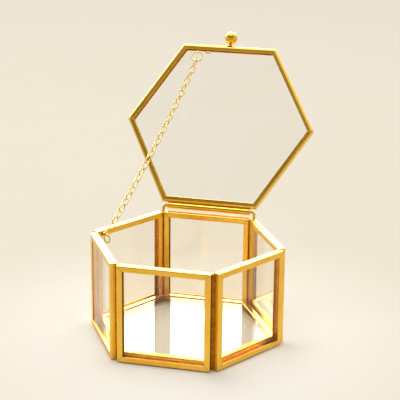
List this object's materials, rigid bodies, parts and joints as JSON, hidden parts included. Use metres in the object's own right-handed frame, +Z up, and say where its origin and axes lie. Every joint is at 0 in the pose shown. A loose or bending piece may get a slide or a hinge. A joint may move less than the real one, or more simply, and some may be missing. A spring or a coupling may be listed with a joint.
{
  "type": "jewelry box",
  "caption": "Small hexagonal jewelry box of clear glass panes in brass channel, with a hinged glass lid, a knob and a chain that stops the lid.",
  "frame": {"origin": "centre of the hexagonal footprint, on the plane that the box stands on (the lower face of the base frame; the base pane's underside lies 0.5 mm above it)", "axes": "+Z up, -Y towards the front pane, the lid's hinge along X at the back, the chain on the -X side"},
  "size_m": [0.106, 0.1465, 0.1429],
  "materials": {
    "channel_brass": "lacquered gold-toned brass channel, brushed along its length",
    "polished_brass": "polished gold-toned brass",
    "chain_brass": "pale gold-toned brass wire",
    "solder": "gold-plated solder, a little rough and darker in the groove",
    "glass": "clear polished sheet glass"
  },
  "bodies": {
    "box": {"wall_frame_front": "channel_brass", "wall_frame_front_right": "channel_brass", "wall_frame_back_right": "channel_brass", "wall_frame_back": "channel_brass", "wall_frame_back_left": "channel_brass", "wall_frame_front_left": "channel_brass", "wall_glass_front": "glass", "wall_glass_front_right": "glass", "wall_glass_back_right": "glass", "wall_glass_back": "glass", "wall_glass_back_left": "glass", "wall_glass_front_left": "glass", "corner_solder_right": "solder", "corner_solder_back_right": "solder", "corner_solder_back_left": "solder", "corner_solder_left": "solder", "corner_solder_front_left": "solder", "corner_solder_front_right": "solder", "base_frame": "channel_brass", "base_glass": "glass", "hinge_pin": "polished_brass", "chain_ring_box": "chain_brass"},
    "lid": {"lid_frame": "channel_brass", "lid_glass": "glass", "lid_knob": "polished_brass", "hinge_tube": "polished_brass", "chain_ring_lid": "chain_brass"},
    "link_01": {"chain_link_01": "chain_brass"},
    "link_02": {"chain_link_02": "chain_brass"},
    "link_03": {"chain_link_03": "chain_brass"},
    "link_04": {"chain_link_04": "chain_brass"},
    "link_05": {"chain_link_05": "chain_brass"},
    "link_06": {"chain_link_06": "chain_brass"},
    "link_07": {"chain_link_07": "chain_brass"},
    "link_08": {"chain_link_08": "chain_brass"},
    "link_09": {"chain_link_09": "chain_brass"},
    "link_10": {"chain_link_10": "chain_brass"},
    "link_11": {"chain_link_11": "chain_brass"},
    "link_12": {"chain_link_12": "chain_brass"},
    "link_13": {"chain_link_13": "chain_brass"},
    "link_14": {"chain_link_14": "chain_brass"},
    "link_15": {"chain_link_15": "chain_brass"},
    "link_16": {"chain_link_16": "chain_brass"},
    "link_17": {"chain_link_17": "chain_brass"},
    "link_18": {"chain_link_18": "chain_brass"},
    "link_19": {"chain_link_19": "chain_brass"},
    "link_20": {"chain_link_20": "chain_brass"},
    "link_21": {"chain_link_21": "chain_brass"},
    "link_22": {"chain_link_22": "chain_brass"},
    "link_23": {"chain_link_23": "chain_brass"},
    "link_24": {"chain_link_24": "chain_brass"},
    "link_25": {"chain_link_25": "chain_brass"},
    "link_26": {"chain_link_26": "chain_brass"},
    "link_27": {"chain_link_27": "chain_brass"},
    "link_28": {"chain_link_28": "chain_brass"},
    "link_29": {"chain_link_29": "chain_brass"}
  },
  "joints": [
    {"name": "lid_hinge", "type": "hinge", "parent": "box", "child": "lid", "pos_m": [0, 0.04767, 0.0538], "axis": [1, 0, 0], "range_deg": [0, 120.02]},
    {"name": "link_01_bend", "type": "hinge", "parent": "lid", "child": "link_01", "pos_m": [-0.0175, 0.0855, 0.12758], "axis": [-0.9304, -0.3372, 0.1439], "range_deg": [0, 71.1]},
    {"name": "link_02_bend", "type": "hinge", "parent": "link_01", "child": "link_02", "pos_m": [-0.01826, 0.0831, 0.12498], "axis": [0.2609, -0.0542, 0.9638], "range_deg": [0, 16.53]},
    {"name": "link_03_bend", "type": "hinge", "parent": "link_02", "child": "link_03", "pos_m": [-0.01912, 0.08039, 0.12207], "axis": [0.4755, 0.3117, 0.8227], "range_deg": [0, 15.29]},
    {"name": "link_04_bend", "type": "hinge", "parent": "link_03", "child": "link_04", "pos_m": [-0.01999, 0.07766, 0.11917], "axis": [0.679, 0.3973, 0.6173], "range_deg": [0, 14.53]},
    {"name": "link_05_bend", "type": "hinge", "parent": "link_04", "child": "link_05", "pos_m": [-0.02086, 0.07492, 0.1163], "axis": [0.828, 0.2765, 0.4879], "range_deg": [0, 13.43]},
    {"name": "link_06_bend", "type": "hinge", "parent": "link_05", "child": "link_06", "pos_m": [-0.02173, 0.07216, 0.11343], "axis": [0.8796, 0.0311, 0.4748], "range_deg": [0, 12.45]},
    {"name": "link_07_bend", "type": "hinge", "parent": "link_06", "child": "link_07", "pos_m": [-0.02261, 0.06939, 0.11059], "axis": [0.7835, -0.2412, 0.5726], "range_deg": [0, 12.18]},
    {"name": "link_08_bend", "type": "hinge", "parent": "link_07", "child": "link_08", "pos_m": [-0.0235, 0.0666, 0.10775], "axis": [0.6618, -0.4005, 0.6337], "range_deg": [0, 13.19]},
    {"name": "link_09_bend", "type": "hinge", "parent": "link_08", "child": "link_09", "pos_m": [-0.02439, 0.0638, 0.10494], "axis": [0.9737, -0.2164, 0.0707], "range_deg": [0, 22.67]},
    {"name": "link_10_bend", "type": "hinge", "parent": "link_09", "child": "link_10", "pos_m": [-0.02528, 0.06098, 0.10214], "axis": [0.9559, -0.2821, 0.0813], "range_deg": [0, 22.22]},
    {"name": "link_11_bend", "type": "hinge", "parent": "link_10", "child": "link_11", "pos_m": [-0.02618, 0.05815, 0.09936], "axis": [0.9387, -0.3083, 0.154], "range_deg": [0, 19.75]},
    {"name": "link_12_bend", "type": "hinge", "parent": "link_11", "child": "link_12", "pos_m": [-0.02708, 0.05531, 0.09659], "axis": [0.3962, -0.5253, 0.753], "range_deg": [0, 12.47]},
    {"name": "link_13_bend", "type": "hinge", "parent": "link_12", "child": "link_13", "pos_m": [-0.02799, 0.05245, 0.09384], "axis": [0.0615, -0.4455, 0.8932], "range_deg": [0, 11.36]},
    {"name": "link_14_bend", "type": "hinge", "parent": "link_13", "child": "link_14", "pos_m": [-0.0289, 0.04957, 0.0911], "axis": [0.0036, -0.2838, 0.9589], "range_deg": [0, 8.26]},
    {"name": "link_15_bend", "type": "hinge", "parent": "link_14", "child": "link_15", "pos_m": [-0.02982, 0.04669, 0.08839], "axis": [-0.2912, 0.221, 0.9308], "range_deg": [0, 5.3]},
    {"name": "link_16_bend", "type": "hinge", "parent": "link_17", "child": "link_16", "pos_m": [-0.03166, 0.04087, 0.083], "axis": [0.4855, 0.0193, -0.874], "range_deg": [0, 7.63]},
    {"name": "link_17_bend", "type": "hinge", "parent": "link_18", "child": "link_17", "pos_m": [-0.03259, 0.03794, 0.08033], "axis": [0.7824, 0.1365, -0.6077], "range_deg": [0, 16.46]},
    {"name": "link_18_bend", "type": "hinge", "parent": "link_19", "child": "link_18", "pos_m": [-0.03353, 0.035, 0.07768], "axis": [0.7441, 0.3479, -0.5703], "range_deg": [0, 27.52]},
    {"name": "link_19_bend", "type": "hinge", "parent": "link_20", "child": "link_19", "pos_m": [-0.03446, 0.03204, 0.07504], "axis": [0.7457, 0.4414, -0.499], "range_deg": [0, 27.54]},
    {"name": "link_20_bend", "type": "hinge", "parent": "link_21", "child": "link_20", "pos_m": [-0.03541, 0.02907, 0.07242], "axis": [0.8282, 0.4096, -0.3826], "range_deg": [0, 27.55]},
    {"name": "link_21_bend", "type": "hinge", "parent": "link_22", "child": "link_21", "pos_m": [-0.03635, 0.02609, 0.06982], "axis": [0.8806, 0.3824, -0.2798], "range_deg": [0, 27.57]},
    {"name": "link_22_bend", "type": "hinge", "parent": "link_23", "child": "link_22", "pos_m": [-0.0373, 0.02309, 0.06724], "axis": [0.9245, 0.3465, -0.1586], "range_deg": [0, 27.57]},
    {"name": "link_23_bend", "type": "hinge", "parent": "link_24", "child": "link_23", "pos_m": [-0.03826, 0.02008, 0.06467], "axis": [0.9588, 0.2835, -0.0191], "range_deg": [0, 27.56]},
    {"name": "link_24_bend", "type": "hinge", "parent": "link_25", "child": "link_24", "pos_m": [-0.03922, 0.01706, 0.06212], "axis": [0.9847, 0.0991, 0.143], "range_deg": [0, 27.55]},
    {"name": "link_25_bend", "type": "hinge", "parent": "link_26", "child": "link_25", "pos_m": [-0.04018, 0.01402, 0.05959], "axis": [0.9197, -0.3132, 0.2366], "range_deg": [0, 27.54]},
    {"name": "link_26_bend", "type": "hinge", "parent": "link_27", "child": "link_26", "pos_m": [-0.04115, 0.01097, 0.05707], "axis": [0.6043, -0.7967, 0.007], "range_deg": [0, 27.54]},
    {"name": "link_27_bend", "type": "hinge", "parent": "link_28", "child": "link_27", "pos_m": [-0.04212, 0.00791, 0.05457], "axis": [0.1683, -0.8426, -0.5116], "range_deg": [0, 27.54]},
    {"name": "link_28_bend", "type": "hinge", "parent": "link_29", "child": "link_28", "pos_m": [-0.0431, 0.00484, 0.05209], "axis": [-0.321, -0.2891, -0.9019], "range_deg": [0, 27.54]},
    {"name": "link_29_bend", "type": "hinge", "parent": "box", "child": "link_29", "pos_m": [-0.04397, 0.00209, 0.0499], "axis": [-0.6249, 0.7229, -0.2947], "range_deg": [0, 114.58]}
  ],
  "couplings": [
    {"joint": "link_01_bend", "follows": "lid_hinge", "ratio": 0.58825},
    {"joint": "link_02_bend", "follows": "lid_hinge", "ratio": 0.13354},
    {"joint": "link_03_bend", "follows": "lid_hinge", "ratio": 0.1232},
    {"joint": "link_04_bend", "follows": "lid_hinge", "ratio": 0.11687},
    {"joint": "link_05_bend", "follows": "lid_hinge", "ratio": 0.10776},
    {"joint": "link_06_bend", "follows": "lid_hinge", "ratio": 0.099536},
    {"joint": "link_07_bend", "follows": "lid_hinge", "ratio": 0.09733},
    {"joint": "link_08_bend", "follows": "lid_hinge", "ratio": 0.10572},
    {"joint": "link_09_bend", "follows": "lid_hinge", "ratio": 0.1847},
    {"joint": "link_10_bend", "follows": "lid_hinge", "ratio": 0.18095},
    {"joint": "link_11_bend", "follows": "lid_hinge", "ratio": 0.16038},
    {"joint": "link_12_bend", "follows": "lid_hinge", "ratio": 0.099763},
    {"joint": "link_13_bend", "follows": "lid_hinge", "ratio": 0.090462},
    {"joint": "link_14_bend", "follows": "lid_hinge", "ratio": 0.064615},
    {"joint": "link_15_bend", "follows": "lid_hinge", "ratio": 0.039964},
    {"joint": "link_16_bend", "follows": "lid_hinge", "ratio": 0.059431},
    {"joint": "link_17_bend", "follows": "lid_hinge", "ratio": 0.13299},
    {"joint": "link_18_bend", "follows": "lid_hinge", "ratio": 0.22512},
    {"joint": "link_19_bend", "follows": "lid_hinge", "ratio": 0.22529},
    {"joint": "link_20_bend", "follows": "lid_hinge", "ratio": 0.22542},
    {"joint": "link_21_bend", "follows": "lid_hinge", "ratio": 0.22551},
    {"joint": "link_22_bend", "follows": "lid_hinge", "ratio": 0.22553},
    {"joint": "link_23_bend", "follows": "lid_hinge", "ratio": 0.22548},
    {"joint": "link_24_bend", "follows": "lid_hinge", "ratio": 0.22538},
    {"joint": "link_25_bend", "follows": "lid_hinge", "ratio": 0.22528},
    {"joint": "link_26_bend", "follows": "lid_hinge", "ratio": 0.22527},
    {"joint": "link_27_bend", "follows": "lid_hinge", "ratio": 0.2253},
    {"joint": "link_28_bend", "follows": "lid_hinge", "ratio": 0.2253},
    {"joint": "link_29_bend", "follows": "lid_hinge", "ratio": 0.95054}
  ]
}
